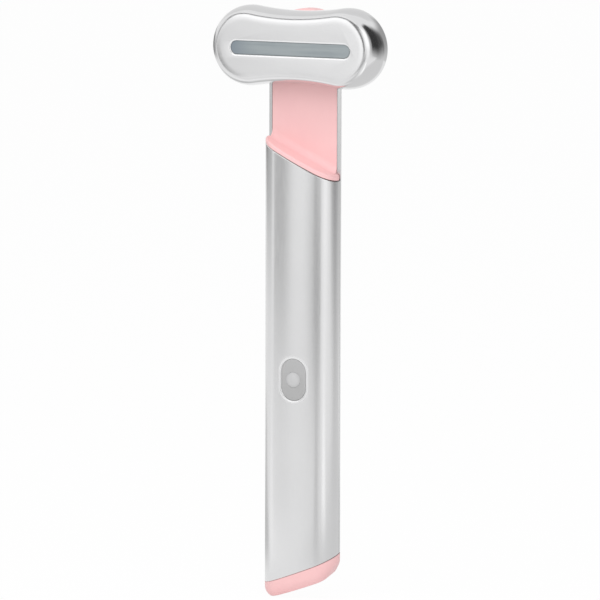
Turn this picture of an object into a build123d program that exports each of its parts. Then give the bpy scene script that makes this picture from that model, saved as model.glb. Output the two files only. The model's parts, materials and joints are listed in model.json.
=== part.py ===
from build123d import *
import os
from math import atan, cos, degrees, sin

os.makedirs("parts", exist_ok=True)

# Heated eye massager wand. Millimetres.
# Working frame: the handle's axis is Z, the treatment face looks along -Y, +X is to the right
# of someone facing it. Z = 0 where the handle's lower rim crosses the axis.

# Fits
clearance = 0.1            # between parts that slide into each other once, at assembly
running = 0.05             # between parts that move against each other
rim_gap = 0.2              # groove between the metal rims and the end mouldings
seal_setback = 0.25        # how far the seals lie behind the outside surface
past = 1.0                 # how far a cutter runs past what it cuts
same = 0.01                # two places closer than this are one

# Handle shell: an oval extrusion
handle_width = 20.7
handle_depth = 11.7
side_radius = 5.5
shell_wall = 0.9
rim_chamfer = 0.2
upper_rim = 106.9          # height at the axis
upper_rim_slope = (-0.475, 0.05)   # rise per millimetre towards +X and +Y
lower_rim_slope = (0.392, 0.2)

# Neck: the rear part of the oval carried on above the upper rim
neck_face = 0.6            # Y of the flat front of the neck
neck_top = 146.2
neck_cap_height = 2.2
neck_cap_edge = 1.0
neck_cap_wall = 1.0
neck_arch_spare = 2.55     # by which the radius of the arched end exceeds half the width
panel_thickness = 1.2
collar_height = 1.4
collar_edge = 0.45
collar_end_radius = 0.8    # where the collar stops in front of the tube's tongue
cove_radius = 2.0
spigot_wall = 0.9
spigot_reach = 6.0

# Bottom cap
cap_depth = 4.85           # of the underside, at the axis
cap_slope = (0.365, 0.2)   # of the underside
cap_roll_radius = 3.2      # radius in which the sides turn under
cap_roll_drop = 1.35       # how far below the underside that roll would end
cap_edge = 0.5
cap_heel_slope = 1.5       # of the underside's steeper right end
cap_heel_start = 8.0       # how far right of the axis that end begins
cap_heel_edge = 3.0
cap_floor = 1.6
cap_spigot_reach = 4.0
cap_spigot_wall = 0.8

# Button
button_height_up = 50.1    # of its centre
button_width = 7.1
button_length = 11.3
button_gap = 0.13
button_setback = 0.15
button_chamfer = 0.35
button_travel = 0.35
button_flange = 0.7
button_flange_thickness = 0.6
button_flange_gap = 0.35   # behind the shell's wall at its middle
button_stem_radius = 1.3
lens_radius = 2.0
lens_rise = 0.3
lens_seat = 0.9
guide_wall = 0.8

# Main board and what it carries. A drop is measured down from the button's centre.
board_front = -1.2
board_thickness = 1.0
board_width = 15.0
board_margin = 1.45        # above the button's guide
board_edge_lift = -2.3     # of its slanted lower edge, from the lower rim
switch_size = 4.2
switch_height = 1.4
plunger_radius = 1.0
plunger_rise = 0.6
plunger_sink = 0.6
control_chip_size = 4.0
control_chip_drop = 22.1
charge_chip_size = 3.0
charge_chip_place = (15.0, -1.0)   # height, then distance to the right
chip_height = 0.9
inductor_size = 4.5
inductor_height = 1.9
inductor_drop = 7.1
inductor_across = 2.5
passive_size = (1.6, 0.8, 0.6)
passive_pitch = 2.5        # between parts in a row
passive_rows = ((1.1, 2), (13.0, 2), (18.0, 3))   # drop, then number of parts
charge_row = (18.0, 3)     # height, then number of parts
led_dot_size = (1.6, 0.8, 0.5)
led_dot_gap = 0.2          # from the switch

# Carrier, battery and screws
carrier_front = 2.6
carrier_thickness = 1.0
carrier_low = 9.0
carrier_margin = 1.2       # above the bosses that it is screwed to
post_radius = 1.5
low_post_height = 16.0
high_post_drop = 16.1      # below the button's centre
post_offset = 5.3
rib_thickness = 1.0
rib_front = -2.2
rib_margin = 2.1           # above the board's upper edge
battery_length = 35.0
battery_width = 13.0
battery_thickness = 4.8
pad_thickness = 0.4
pad_margin = 1.0
foam_size = (8.0, 28.0, 1.4)
lead_radius = 0.4
lead_spread = 2.2
lead_overlap = 3.2         # length of the leads' ends on the board
screw_radius = 0.5
screw_head_radius = 1.0
screw_head_height = 0.6
screw_length = 2.4
boss_radius = 1.4
boss_rise = 5.5            # of their centres above the upper rim
boss_offset = 5.0

# Charging socket
socket_width = 8.94
socket_height = 3.26
socket_length = 7.3
socket_wall = 0.3
socket_setback = 0.4
tongue_size = (6.7, 0.7, 5.0)

# Head: a waisted oval pod on a swivel
head_axis = 136.5
head_gap = 0.3             # between the head's back and the neck
head_length = 48.8
lobe_radius = 10.5
waist_half = 9.4
head_depth = 8.6
flank_flare = 0.9          # how much wider the outline is at the back than at the front
face_edge = 2.2
back_edge = 1.0
cover_thickness = 1.2
head_wall = 0.9
face_wall = 1.0
cover_lip = 0.6
cover_lip_reach = 1.2

# Light window in the treatment face
window_end_margin = 7.3    # from each end of the head
window_height = 3.5
window_drop = 0.3          # of its centre, below the head's axis
window_setback = 0.2
window_flange = 1.3
window_flange_thickness = 0.6

# Inside the head
heater_thickness = 0.2
heater_inset = 4.2
heater_clear = 0.6
led_board_margin = 1.4     # beyond the window at each end
led_board_height = 6.0
led_board_thickness = 0.8
led_board_back = -4.8
led_count = 8
led_end_margin = 1.7       # from the window's ends to the last diodes' centres
led_size = (2.0, 1.6, 0.9)
led_post_radius = 1.1
led_post_margin = 1.9      # from the board's ends
thermistor_radius = 0.7
thermistor_length = 2.4
thermistor_place = (-9.0, 5.6)
connector_size = (5.0, 3.0, 1.4)

# Vibration motor, lying along X in the right lobe
motor_radius = 1.75
motor_length = 7.0
motor_gap = 1.2            # beside the hub's flange
motor_drop = 5.7           # below the head's axis
motor_depth = -3.6         # Y of its axis
boot_wall = 0.5
boot_length = 5.0
weight_radius = 1.6
weight_length = 2.5
weight_gap = 0.5
shaft_radius = 0.4
shaft_sink = 1.5

# Swivel
hub_radius = 3.2
hub_bore = 1.6
hub_flange_radius = 6.4
hub_flange_thickness = 1.2
hub_end = 3.5              # Y of the hub's rear end
bush_wall = 0.9
bush_flange_radius = 5.2
bush_flange_thickness = 0.5
washer_radius = 7.0
washer_thickness = 0.2
wave_thickness = 0.4
clip_radius = 4.6
clip_thickness = 0.5
groove_depth = 0.5
hub_screw_circle = 4.9
hub_screw_count = 3
harness_radius = 0.5
harness_depth = 4.15       # Y of its long run, behind the carrier
harness_bend = 0.62
harness_drop = 1.8         # of its lower end below the board's upper edge

# Worked out from the sizes above
far = 8 * handle_width
board_back = board_front + board_thickness
guide_width = button_width + 2 * (button_flange + clearance)
guide_length = button_length + 2 * (button_flange + clearance)
board_top = button_height_up + guide_length / 2 + guide_wall + board_margin
battery_low = board_top + rib_margin + rib_thickness + clearance
post_heights = (low_post_height, button_height_up - high_post_drop)
boss_height_up = upper_rim + boss_rise
carrier_high = boss_height_up + boss_radius + carrier_margin
harness_low = board_top - harness_drop
carrier_back = carrier_front + carrier_thickness
panel_back = neck_face + panel_thickness
shell_top = neck_top - neck_cap_height - rim_gap / 2
neck_arch_radius = handle_width / 2 + neck_arch_spare
inner_inset = shell_wall + clearance
shell_front = -handle_depth / 2
heel_slope = (cap_heel_slope, cap_slope[1])
cover_back = neck_face - head_gap
seam = cover_back - cover_thickness
face = cover_back - head_depth
face_back = face + face_wall
flare_angle = degrees(atan(flank_flare / (head_depth - cover_thickness)))
window_length = head_length - 2 * window_end_margin
window_height_up = head_axis - window_drop
led_board_length = window_length + 2 * led_board_margin
led_post_offset = led_board_length / 2 - led_post_margin
led_pitch = (window_length - 2 * led_end_margin) / (led_count - 1)
motor_start = hub_flange_radius + motor_gap
motor_height_up = head_axis - motor_drop
socket_depth = board_back + socket_height / 2


def oval(inset=0.0):
    """The handle's section, made of two crown arcs and two side arcs."""
    reach = handle_width / 2 - side_radius
    rise = handle_depth / 2 - side_radius
    stretch = (reach**2 + rise**2) / (2 * rise)
    corner = side_radius - inset
    end_x = reach + corner * reach / stretch
    end_y = corner * (stretch - rise) / stretch
    half_width = handle_width / 2 - inset
    half_depth = handle_depth / 2 - inset
    arcs = [
        ThreePointArc((-end_x, end_y), (0, half_depth), (end_x, end_y)),
        ThreePointArc((end_x, end_y), (half_width, 0), (end_x, -end_y)),
        ThreePointArc((end_x, -end_y), (0, -half_depth), (-end_x, -end_y)),
        ThreePointArc((-end_x, -end_y), (-half_width, 0), (-end_x, end_y)),
    ]
    return make_face(arcs)


def column(inset, low, high):
    """The oval section, drawn in by inset and raised from low to high."""
    return Pos(0, 0, low) * extrude(oval(inset), high - low)


def above(height, slope, lift=0.0):
    """All space above a slanted rim plane that crosses the axis at height + lift."""
    rim = Plane(origin=(0, 0, height + lift), z_dir=(-slope[0], -slope[1], 1))
    return rim * Box(far, far, 2 * far, align=(Align.CENTER, Align.CENTER, Align.MIN))


def rim_faces(shape, slope):
    """The shape's faces, sorted upwards square to a rim plane."""
    square = Axis(origin=(0, 0, 0), direction=(-slope[0], -slope[1], 1))
    return shape.faces().sort_by(square)


def above_lower_rim(lift=0.0):
    return above(0, lower_rim_slope, lift)


def above_upper_rim(lift=0.0):
    return above(upper_rim, upper_rim_slope, lift)


def behind(depth):
    """All space with Y above depth."""
    return Pos(0, depth, 0) * Box(2 * far, far, 4 * far, align=(Align.CENTER, Align.MIN, Align.CENTER))


def facing(depth, height, across=0.0):
    """A drawing plane that looks along -Y, with its own Y pointing up."""
    return Plane(origin=(across, depth, height), x_dir=(1, 0, 0), z_dir=(0, -1, 0))


def forward(sketch, back, front, height, across=0.0):
    """A sketch on the facing plane, carried forward from back to front."""
    return extrude(facing(back, height, across) * sketch, back - front)


def under_arch(inset=0.0):
    """All space under the neck's arched upper end, drawn in by inset."""
    centre = neck_top - neck_arch_radius
    arch = forward(Circle(neck_arch_radius - inset), far, -far, centre)
    low = Box(4 * far, 4 * far, 4 * far, align=(Align.CENTER, Align.CENTER, Align.MAX))
    return arch + Pos(0, 0, centre) * low


def ring(outer, inner):
    return Circle(outer) - Circle(inner)


def stadium(width, length):
    return Rot(0, 0, 90) * SlotOverall(length, width)


def screw(head_back, height, across):
    """A pan-head screw whose shank points along -Y."""
    head = forward(Circle(screw_head_radius), head_back, head_back - screw_head_height, height, across)
    under = head_back - screw_head_height
    return head + forward(Circle(screw_radius), under, under - screw_length, height, across)


# ---- Handle ----

def handle_shell():
    bottom = -handle_width
    tube = column(0, bottom, shell_top) - column(shell_wall, bottom - past, shell_top + past)
    tube = tube & above_lower_rim()
    tube = tube - (above_upper_rim() - behind(neck_face))
    tube = tube & under_arch(neck_top - shell_top)
    low_face = rim_faces(tube, lower_rim_slope)[0]
    tube = chamfer(low_face.outer_wire().edges(), rim_chamfer)
    opening = stadium(button_width + 2 * button_gap, button_length + 2 * button_gap)
    tube = tube - forward(opening, 0, -handle_depth, button_height_up)
    mouth = tube.edges().filter_by(lambda edge: edge.center().Y < shell_front + shell_wall / 2
                                   and abs(edge.center().Z - button_height_up) < button_length)
    mouth = mouth.filter_by(lambda edge: edge.length < 2 * button_length)
    return chamfer(mouth, button_chamfer)


def collar_lip():
    """The rim of the collar, which carries on the handle's outside surface."""
    lip = column(0, 0, far) & above_upper_rim(rim_gap)
    lip = lip - above_upper_rim(collar_height) - behind(neck_face - clearance)
    ends = lip.edges().filter_by(Axis.Z).filter_by(lambda edge: edge.center().Y > 0)
    lip = fillet(ends, collar_end_radius)
    top = rim_faces(lip, upper_rim_slope)[-1]
    return fillet(top.edges().filter_by(GeomType.LINE, reverse=True), collar_edge)


def is_shoulder_corner(edge):
    """True for the inner corner where the collar's top meets the flat panel."""
    spot = edge.center()
    height = upper_rim + collar_height + upper_rim_slope[0] * spot.X + upper_rim_slope[1] * neck_face
    return abs(spot.Y - neck_face) < same and abs(spot.Z - height) < same


def neck_cover():
    """Collar, sloping shoulder and flat neck panel, moulded in one."""
    roof = above_upper_rim(rim_gap) - above_upper_rim(collar_height) - behind(panel_back)
    slab = above_upper_rim(rim_gap) & (behind(neck_face) - behind(panel_back))
    block = roof + slab
    block = fillet(block.edges().filter_by(is_shoulder_corner), cove_radius)
    core = block & column(inner_inset, 0, shell_top) & under_arch(neck_top - shell_top)
    spigot = column(inner_inset, 0, far) - column(inner_inset + spigot_wall, -past, far + past)
    spigot = (spigot & above_upper_rim(-spigot_reach)) - above_upper_rim(collar_height / 2)
    spigot = spigot - behind(neck_face)
    cover = core + collar_lip() + spigot
    root = (neck_face + panel_back) / 2
    bosses = [forward(Circle(boss_radius), carrier_front, root, boss_height_up, side)
              for side in (-boss_offset, boss_offset)]
    cover = cover + bosses
    cover = cover - forward(Circle(hub_radius + running + bush_wall), far, -far, head_axis)
    pilot_tip = carrier_back - screw_length
    pilots = [forward(Circle(screw_radius), carrier_back, pilot_tip, boss_height_up, side)
              for side in (-boss_offset, boss_offset)]
    return cover - pilots


def neck_top_cap():
    low = neck_top - neck_cap_height
    cap = (column(0, 0, neck_top) & behind(neck_face) & under_arch()) - under_arch(neck_cap_height)
    cap = fillet(cap.faces().sort_by(Axis.Z)[-1].edges(), neck_cap_edge)
    plug = column(inner_inset, low - neck_cap_height, low) & behind(panel_back + clearance)
    plug = plug & under_arch(neck_cap_height / 2)
    hollow = column(inner_inset + neck_cap_wall, low - far, low)
    return cap + (plug - (hollow & behind(panel_back + clearance + neck_cap_wall)))


def port_plane():
    """Centre of the charging port on the cap's slanted end; its Z points into the handle."""
    tilt = atan(cap_slope[0])
    height = -cap_depth + cap_slope[1] * socket_depth
    return Plane(origin=(0, socket_depth, height), x_dir=(cos(tilt), 0, sin(tilt)),
                 z_dir=(-sin(tilt), 0, cos(tilt)))


def socket_profile(inset=0.0):
    height = socket_height - 2 * inset
    return SlotOverall(socket_width - 2 * inset, height)


def above_heel(lift=0.0):
    """All space above the steep plane that cuts off the right end of the cap's underside."""
    height = (cap_slope[0] - cap_heel_slope) * cap_heel_start - cap_depth
    return above(lift + height, heel_slope)


def flat_face(shape, slope):
    """The shape's flat underside that follows a slope."""
    square = Vector(slope[0], slope[1], -1).normalized()
    flats = shape.faces().filter_by(GeomType.PLANE)
    return flats.filter_by(lambda side: (side.normal_at() - square).length < same)[0]


def cap_block():
    """The cap's outside, still running up past the rim."""
    block = column(0, -handle_width, handle_width) & above(-cap_depth - cap_roll_drop, cap_slope)
    block = fillet(flat_face(block, cap_slope).edges(), cap_roll_radius) & above_heel()
    block = fillet(flat_face(block, heel_slope).edges(), cap_heel_edge) & above(-cap_depth, cap_slope)
    return fillet(flat_face(block, cap_slope).edges(), cap_edge)


def bottom_cap():
    spigot = column(inner_inset, -handle_width, handle_width) & above_lower_rim(-rim_gap - past / 2)
    spigot = spigot - above_lower_rim(cap_spigot_reach)
    cap = (cap_block() - above_lower_rim(-rim_gap)) + spigot
    hollow = column(inner_inset + cap_spigot_wall, -handle_width, handle_width)
    hollow = hollow & above(cap_floor - cap_depth, cap_slope) & above_heel(cap_floor)
    port = port_plane().offset(-far / 2) * extrude(socket_profile(-clearance), far)
    return cap - hollow - port


def upper_seal():
    band = column(seal_setback, 0, far) - column(shell_wall, -past, far + past)
    band = (band & above_upper_rim()) - above_upper_rim(rim_gap)
    return band - behind(neck_face - clearance)


def lower_seal():
    band = column(seal_setback, -far, far) - column(shell_wall, -far - past, far + past)
    return (band & above_lower_rim(-rim_gap)) - above_lower_rim()


# ---- Inside the handle ----

def carrier():
    plate = column(inner_inset, carrier_low, carrier_high)
    plate = plate & (behind(carrier_front) - behind(carrier_back))
    battery_high = battery_low + battery_length
    ribs = [
        Pos(0, rib_front, low) * Box(battery_width, carrier_front - rib_front, rib_thickness,
                                     align=(Align.CENTER, Align.MIN, Align.MIN))
        for low in (battery_low - clearance - rib_thickness, battery_high + clearance)
    ]
    posts = [
        forward(Circle(post_radius), carrier_front, board_back, height, side)
        for height in post_heights
        for side in (-post_offset, post_offset)
    ]
    body = plate + ribs + posts
    for side in (-lead_spread, lead_spread):
        body = body - Pos(side, board_back + lead_radius, battery_low) * Cylinder(
            lead_radius + clearance, 4 * rib_thickness)
    pilot_back = board_back + screw_length
    for height in post_heights:
        for side in (-post_offset, post_offset):
            body = body - forward(Circle(screw_radius), pilot_back, board_front, height, side)
    for side in (-boss_offset, boss_offset):
        body = body - forward(Circle(screw_radius + clearance), far, 0, boss_height_up, side)
    slot = harness_radius + clearance
    return body - forward(Circle(slot), carrier_back + slot, board_back, harness_low)


def battery():
    cell = Box(battery_width, battery_thickness, battery_length,
               align=(Align.CENTER, Align.MAX, Align.MIN))
    cell = fillet(cell.edges().filter_by(Axis.Z), battery_thickness / 4)
    return Pos(0, carrier_front - pad_thickness, battery_low) * cell


def battery_pads():
    middle = battery_low + battery_length / 2
    width, length, thickness = foam_size
    tape = forward(Rectangle(battery_width - 2 * pad_margin, battery_length - 2 * pad_margin),
                   carrier_front, carrier_front - pad_thickness, middle)
    front = carrier_front - pad_thickness - battery_thickness
    foam = forward(Rectangle(width, length), front, front - thickness, middle)
    return Compound([tape, foam])


def battery_leads():
    low = board_top - lead_overlap
    wires = [
        Pos(side, board_back + lead_radius, low) * Cylinder(
            lead_radius, battery_low - low, align=(Align.CENTER, Align.CENTER, Align.MIN))
        for side in (-lead_spread, lead_spread)
    ]
    return Compound(wires)


def main_board():
    board = Pos(0, board_front, 0) * Box(board_width, board_thickness, 2 * board_top,
                                         align=(Align.CENTER, Align.MIN, Align.CENTER))
    board = board & above_lower_rim(board_edge_lift)
    for height in post_heights:
        for side in (-post_offset, post_offset):
            hole = Circle(screw_radius + clearance)
            board = board - forward(hole, board_back + past, board_front - past, height, side)
    return board


def board_screws():
    screws = []
    tip = board_front + screw_length
    head_front = board_front - screw_head_height
    for height in post_heights:
        for side in (-post_offset, post_offset):
            head = forward(Circle(screw_head_radius), board_front, head_front, height, side)
            shank = forward(Circle(screw_radius), tip, board_front, height, side)
            screws.append(head + shank)
    return Compound(screws)


def carrier_screws():
    head_back = carrier_back + screw_head_height
    return Compound([screw(head_back, boss_height_up, side) for side in (-boss_offset, boss_offset)])


def on_board_back(size, height, across):
    width, length, thickness = size
    return forward(Rectangle(width, length), board_back + thickness, board_back, height, across)


def on_board_front(size, height, across):
    width, length, thickness = size
    return forward(Rectangle(width, length), board_front, board_front - thickness, height, across)


def control_chip():
    size = (control_chip_size, control_chip_size, chip_height)
    return on_board_back(size, button_height_up - control_chip_drop, 0)


def charge_chip():
    size = (charge_chip_size, charge_chip_size, chip_height)
    return on_board_back(size, *charge_chip_place)


def power_inductor():
    size = (inductor_size, inductor_size, inductor_height)
    body = on_board_back(size, button_height_up - inductor_drop, inductor_across)
    return chamfer(body.edges().filter_by(Axis.Y), inductor_size / 6)


def board_passives():
    rows = [charge_row] + [(button_height_up - drop, count) for drop, count in passive_rows]
    return Compound([
        on_board_back(passive_size, height, passive_pitch * (index - (count - 1) / 2))
        for height, count in rows
        for index in range(count)
    ])


# ---- Button ----

key_flange_front = shell_front + shell_wall + button_flange_gap
key_back = key_flange_front + button_flange_thickness
plunger_front = board_front - switch_height - plunger_rise
switch_front = board_front - switch_height


def key_face(lift=0.0):
    """The curved front of the key, set back from the handle's surface."""
    return column(button_setback - lift, 0, far)


def power_button():
    key = forward(stadium(button_width, button_length), key_back, -handle_depth, button_height_up)
    key = key & key_face()
    flange = stadium(button_width + 2 * button_flange, button_length + 2 * button_flange)
    key = key + forward(flange, key_back, key_flange_front, button_height_up)
    stem = forward(Circle(button_stem_radius), plunger_front, key_flange_front, button_height_up)
    key = key + stem
    seat = shell_front + button_setback + lens_seat
    return key - forward(Circle(lens_radius + clearance / 2), seat, -far, button_height_up)


def button_lens():
    face_depth = shell_front + button_setback
    body = forward(Circle(lens_radius), face_depth + lens_seat, face_depth, button_height_up)
    ball = (lens_radius**2 + lens_rise**2) / (2 * lens_rise)
    dome = Pos(0, face_depth - lens_rise + ball, button_height_up) * Sphere(ball)
    rod = forward(Circle(lens_radius), face_depth, -far, button_height_up)
    return body + (dome & rod)


def switch_plunger():
    return forward(Circle(plunger_radius), switch_front + plunger_sink - button_travel - running,
                   plunger_front, button_height_up)


def tact_switch():
    body = on_board_front((switch_size, switch_size, switch_height), button_height_up, 0)
    well = Circle(plunger_radius + running)
    return body - forward(well, switch_front + plunger_sink, switch_front - past, button_height_up)


def button_guide():
    outer = stadium(guide_width + 2 * guide_wall, guide_length + 2 * guide_wall)
    inner = stadium(guide_width, guide_length)
    wall = forward(outer - inner, board_front, key_flange_front, button_height_up)
    wall = wall & column(inner_inset + clearance, 0, far)
    return wall


def power_indicator():
    offset = button_stem_radius + switch_size / 2 + led_dot_gap
    return on_board_front(led_dot_size, button_height_up + offset, 0)


# ---- Charging socket ----

def charge_socket():
    mouth = port_plane().offset(socket_setback)
    shell = mouth * extrude(socket_profile(), socket_length)
    return shell - mouth * extrude(socket_profile(socket_wall), socket_length - 2 * socket_wall)


def socket_tongue():
    width, thickness, reach = tongue_size
    root = port_plane().offset(socket_setback + socket_length - 2 * socket_wall - reach)
    return root * extrude(Rectangle(width, thickness), reach)


# ---- Head ----

def pod(inset=0.0):
    """The head's waisted outline at its widest: two lobe arcs and two waist arcs."""
    lobe = lobe_radius - inset
    waist = waist_half - inset
    centre = head_length / 2 - lobe_radius
    bow = (centre**2 + waist**2 - lobe**2) / (2 * (lobe - waist))
    end_x = centre * bow / (bow + lobe)
    end_z = lobe * (waist + bow) / (bow + lobe)
    arcs = [
        ThreePointArc((-end_x, end_z), (0, waist), (end_x, end_z)),
        ThreePointArc((end_x, end_z), (centre + lobe, 0), (end_x, -end_z)),
        ThreePointArc((end_x, -end_z), (0, -waist), (-end_x, -end_z)),
        ThreePointArc((-end_x, -end_z), (-centre - lobe, 0), (-end_x, end_z)),
    ]
    return make_face(arcs)


def pod_solid(inset, back, front, edge):
    """The pod's outline carried forward, drawn in by the flare and rounded at its front."""
    body = extrude(facing(back, head_axis) * pod(inset), back - front, taper=flare_angle)
    return fillet(body.faces().sort_by(Axis.Y)[0].edges(), edge)


def head_front_shell():
    shell = pod_solid(0, seam, face, face_edge)
    cavity = pod_solid(head_wall, seam, face_back, face_edge - head_wall)
    slot = forward(SlotOverall(window_length, window_height), 0, face - past, window_height_up)
    return shell - cavity - slot


def light_window():
    bar = forward(SlotOverall(window_length - clearance, window_height - clearance), face_back,
                  face + window_setback, window_height_up)
    grow = 2 * window_flange
    flange = forward(SlotOverall(window_length + grow, window_height + grow),
                     face_back + window_flange_thickness, face_back, window_height_up)
    return bar + flange


def heater_film():
    grow = 2 * (window_flange + heater_clear)
    film = forward(pod(heater_inset), face_back + heater_thickness, face_back, head_axis)
    opening = SlotOverall(window_length + grow, window_height + grow)
    return film - forward(opening, 0, -far, window_height_up)


def hub_screw_spots():
    """Places of the hub's screws round its axis, the first one on top."""
    turn = 360 / hub_screw_count
    return [Rot(0, 0, 90 + turn * index) * Pos(hub_screw_circle, 0) for index in range(hub_screw_count)]


def head_back_cover():
    plate = forward(pod(), cover_back, seam, head_axis)
    plate = fillet(plate.faces().sort_by(Axis.Y)[-1].edges(), back_edge)
    inset = head_wall + clearance + flank_flare * cover_lip_reach / (head_depth - cover_thickness)
    lip = forward(pod(inset) - pod(inset + cover_lip), seam, seam - cover_lip_reach, head_axis)
    posts = [forward(Circle(led_post_radius), seam, led_board_back, window_height_up, side)
             for side in (-led_post_offset, led_post_offset)]
    cover = plate + lip + posts
    for spot in hub_screw_spots():
        cover = cover - forward(spot * Circle(screw_radius), seam + cover_thickness / 2, seam, head_axis)
    return cover - forward(Circle(hub_radius + clearance), far, -far, head_axis)


def led_board():
    return forward(Rectangle(led_board_length, led_board_height), led_board_back,
                   led_board_back - led_board_thickness, window_height_up)


def red_leds():
    width, height, thickness = led_size
    front = led_board_back - led_board_thickness
    places = [led_pitch * (index - (led_count - 1) / 2) for index in range(led_count)]
    return Compound([
        forward(Rectangle(width, height), front, front - thickness, window_height_up, across)
        for across in places
    ])


def thermistor():
    across, rise = thermistor_place
    depth = face_back + heater_thickness + thermistor_radius
    bead = Cylinder(thermistor_radius, thermistor_length, rotation=(0, 90, 0))
    return Pos(across, depth, head_axis + rise) * bead


def head_connector():
    width, height, thickness = connector_size
    return forward(Rectangle(width, height), led_board_back + thickness, led_board_back, window_height_up)


def along_x(radius, start, length):
    rod = Cylinder(radius, length, rotation=(0, 90, 0), align=(Align.CENTER, Align.CENTER, Align.MIN))
    return Pos(start, motor_depth, motor_height_up) * rod


def motor_body():
    body = along_x(motor_radius, motor_start, motor_length)
    sink = motor_start + motor_length - shaft_sink
    return body - along_x(shaft_radius + running, sink, shaft_sink + past)


def motor_boot():
    low = motor_depth - motor_radius - boot_wall
    height = 2 * (motor_radius + boot_wall)
    start = motor_start + (motor_length - boot_length) / 2
    block = Pos(start, low, motor_height_up) * Box(boot_length, seam - low, height,
                                                   align=(Align.MIN, Align.MIN, Align.CENTER))
    return block - along_x(motor_radius, motor_start - past, motor_length + 2 * past)


def eccentric_weight():
    end = motor_start + motor_length
    disc = along_x(weight_radius, end + weight_gap, weight_length)
    upper = Pos(0, motor_depth, motor_height_up + shaft_radius) * Box(
        far, far, far, align=(Align.CENTER, Align.CENTER, Align.MIN))
    shaft_length = shaft_sink - running + weight_gap + weight_length
    return (disc - upper) + along_x(shaft_radius, end - shaft_sink + running, shaft_length)


# ---- Swivel ----

wave_front = panel_back + bush_flange_thickness + running
clip_front = wave_front + wave_thickness + running


def swivel_hub():
    flange = forward(Circle(hub_flange_radius), seam, seam - hub_flange_thickness, head_axis)
    tube = forward(Circle(hub_radius), hub_end, seam - hub_flange_thickness, head_axis)
    groove = forward(ring(far, hub_radius - groove_depth), clip_front + clip_thickness + clearance / 2,
                     clip_front - clearance / 2, head_axis)
    hub = (tube - groove) + flange
    hub = hub - forward(Circle(hub_bore), far, -far, head_axis)
    for spot in hub_screw_spots():
        hub = hub - forward(spot * Circle(screw_radius + clearance), seam, -far, head_axis)
    return hub


def hub_screws():
    screws = []
    under = seam - hub_flange_thickness
    tip = seam + cover_thickness / 2
    for spot in hub_screw_spots():
        head = forward(spot * Circle(screw_head_radius), under, under - screw_head_height, head_axis)
        shank = forward(spot * Circle(screw_radius), tip, under, head_axis)
        screws.append(head + shank)
    return Compound(screws)


def swivel_bush():
    bore = hub_radius + running
    sleeve = forward(ring(bore + bush_wall, bore), panel_back, neck_face, head_axis)
    flange_back = panel_back + bush_flange_thickness
    return sleeve + forward(ring(bush_flange_radius, bore), flange_back, panel_back, head_axis)


def friction_washer():
    spare = (head_gap - washer_thickness) / 2
    return forward(ring(washer_radius, hub_radius + clearance), neck_face - spare,
                   neck_face - spare - washer_thickness, head_axis)


def wave_washer():
    return forward(ring(clip_radius, hub_radius + clearance), wave_front + wave_thickness,
                   wave_front, head_axis)


def hub_clip():
    clip = ring(clip_radius, hub_radius - groove_depth + clearance / 2)
    clip = clip - Pos(0, -clip_radius) * Rectangle(hub_radius, 2 * clip_radius)
    return forward(clip, clip_front + clip_thickness, clip_front, head_axis)


def head_harness():
    """Wires from the main board up the back of the handle and in through the hub."""
    connector_back = led_board_back + connector_size[2]
    route = FilletPolyline(
        (0, board_back, harness_low),
        (0, harness_depth, harness_low),
        (0, harness_depth, head_axis),
        (0, connector_back, head_axis),
        radius=harness_bend,
    )
    start = Plane(origin=(0, board_back, harness_low), z_dir=(0, 1, 0))
    return sweep(start * Circle(harness_radius), path=route)


nodes = {
    "handle_shell": handle_shell(),
    "neck_cover": neck_cover(),
    "neck_top_cap": neck_top_cap(),
    "bottom_cap": bottom_cap(),
    "upper_seal": upper_seal(),
    "lower_seal": lower_seal(),
    "inner_carrier": carrier(),
    "battery": battery(),
    "battery_pads": battery_pads(),
    "battery_leads": battery_leads(),
    "main_board": main_board(),
    "board_screws": board_screws(),
    "carrier_screws": carrier_screws(),
    "control_chip": control_chip(),
    "charge_chip": charge_chip(),
    "power_inductor": power_inductor(),
    "board_passives": board_passives(),
    "power_button": power_button(),
    "button_lens": button_lens(),
    "switch_plunger": switch_plunger(),
    "tact_switch": tact_switch(),
    "button_guide": button_guide(),
    "power_indicator": power_indicator(),
    "charge_socket": charge_socket(),
    "socket_tongue": socket_tongue(),
    "head_front_shell": head_front_shell(),
    "light_window": light_window(),
    "heater_film": heater_film(),
    "head_back_cover": head_back_cover(),
    "led_board": led_board(),
    "red_leds": red_leds(),
    "thermistor": thermistor(),
    "head_connector": head_connector(),
    "motor_body": motor_body(),
    "motor_boot": motor_boot(),
    "eccentric_weight": eccentric_weight(),
    "swivel_hub": swivel_hub(),
    "hub_screws": hub_screws(),
    "swivel_bush": swivel_bush(),
    "friction_washer": friction_washer(),
    "wave_washer": wave_washer(),
    "hub_clip": hub_clip(),
    "head_harness": head_harness(),
}

# The finished frame has its origin under the middle of the wand, level with its lowest point.
lowest = nodes["bottom_cap"].bounding_box().min.Z
middle = (face + handle_depth / 2) / 2
stand = Location((0, -middle, -lowest))
print("moved by", -middle, -lowest, "head axis height", head_axis - lowest)

for name, solid in nodes.items():
    export_step(stand * solid, f"parts/{name}.step")
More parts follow.
